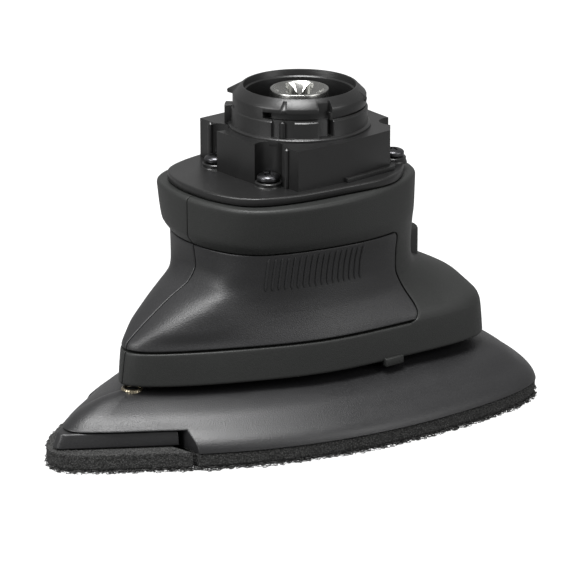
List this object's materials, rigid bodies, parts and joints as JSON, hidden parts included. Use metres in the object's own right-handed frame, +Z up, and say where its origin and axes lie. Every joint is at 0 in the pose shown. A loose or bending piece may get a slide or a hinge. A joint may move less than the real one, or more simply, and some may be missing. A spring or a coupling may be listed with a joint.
{
  "type": "detail sander head",
  "caption": "Quick-change detail-sander head for a multi-tool power unit: orbiting iron-shaped platen with hook pad under a waisted clamshell with a keyed drive collar.",
  "frame": {"origin": "on the drive axis, in the plane of the hook fabric's underside", "axes": "+Z up along the drive axis towards the power unit, -X towards the pad's pointed tip, +X towards its heel, +Y to the side with the clamshell screws' heads"},
  "size_m": [0.136, 0.082, 0.083],
  "materials": {
    "shell": "fine spark-eroded texture, dark grey",
    "grip": "satin soft-touch, charcoal",
    "adapter": "low satin, near black",
    "platen_plastic": "satin, charcoal",
    "foam": "fine-cell foam, dark grey",
    "hook_fabric": "hook fabric, dark grey",
    "rubber": "matte black",
    "black_steel": "blackened, slightly glossy",
    "bright_steel": "turned and bright",
    "brass": "turned",
    "cast_metal": "die cast"
  },
  "bodies": {
    "housing": {"housing_left": "shell", "housing_right": "shell", "grip_left": "grip", "grip_right": "grip", "clamshell_screw_1": "black_steel", "clamshell_screw_2": "black_steel", "clamshell_screw_3": "black_steel", "adapter": "adapter", "adapter_screw_1": "black_steel", "adapter_screw_2": "black_steel", "adapter_screw_3": "black_steel", "adapter_screw_4": "black_steel", "upper_bearing_circlip": "bright_steel", "upper_bearing_outer_race": "bright_steel", "lower_bearing_outer_race": "bright_steel", "bearing_carrier": "cast_metal"},
    "drive": {"drive_socket": "bright_steel", "spindle": "bright_steel", "upper_bearing_inner_race": "bright_steel", "lower_bearing_inner_race": "bright_steel", "eccentric_counterweight": "cast_metal", "platen_bearing_inner_race": "bright_steel", "platen_retaining_washer": "bright_steel", "platen_retaining_screw": "bright_steel"},
    "upper_cage": {"upper_bearing_balls_and_cage": "bright_steel"},
    "lower_cage": {"lower_bearing_balls_and_cage": "bright_steel"},
    "platen_cage": {"platen_bearing_balls_and_cage": "bright_steel"},
    "platen": {"platen": "platen_plastic", "platen_bearing_outer_race": "bright_steel", "platen_snap_ring": "bright_steel", "tip_insert": "brass", "main_pad": "foam", "main_hook_sheet": "hook_fabric", "support_leg_1": "rubber", "support_leg_2": "rubber", "support_leg_3": "rubber", "support_leg_4": "rubber"},
    "tip": {"tip_block": "platen_plastic", "tip_pad": "foam", "tip_hook_sheet": "hook_fabric"},
    "tip_screw": {"tip_screw": "bright_steel"}
  },
  "joints": [
    {"name": "drive_spin", "type": "hinge", "parent": "housing", "child": "drive", "pos_m": [0, 0, 0], "axis": [0, 0, 1], "continuous": true},
    {"name": "platen_orbit", "type": "hinge", "parent": "drive", "child": "platen", "pos_m": [0.0008, 0, 0], "axis": [0, 0, 1], "continuous": true},
    {"name": "upper_cage_spin", "type": "hinge", "parent": "housing", "child": "upper_cage", "pos_m": [0, 0, 0], "axis": [0, 0, 1], "continuous": true},
    {"name": "lower_cage_spin", "type": "hinge", "parent": "housing", "child": "lower_cage", "pos_m": [0, 0, 0], "axis": [0, 0, 1], "continuous": true},
    {"name": "platen_cage_spin", "type": "hinge", "parent": "drive", "child": "platen_cage", "pos_m": [0.0008, 0, 0], "axis": [0, 0, 1], "continuous": true},
    {"name": "tip_release", "type": "slide", "parent": "platen", "child": "tip", "axis": [0, 0, -1], "range_m": [0, 0.014]},
    {"name": "tip_screw_turn", "type": "hinge", "parent": "tip", "child": "tip_screw", "pos_m": [-0.0523, 0, 0], "axis": [0, 0, 1], "continuous": true}
  ],
  "couplings": [
    {"joint": "platen_orbit", "follows": "drive_spin", "ratio": -1},
    {"joint": "upper_cage_spin", "follows": "drive_spin", "ratio": 0.4},
    {"joint": "lower_cage_spin", "follows": "drive_spin", "ratio": 0.4},
    {"joint": "platen_cage_spin", "follows": "drive_spin", "ratio": -0.6}
  ]
}
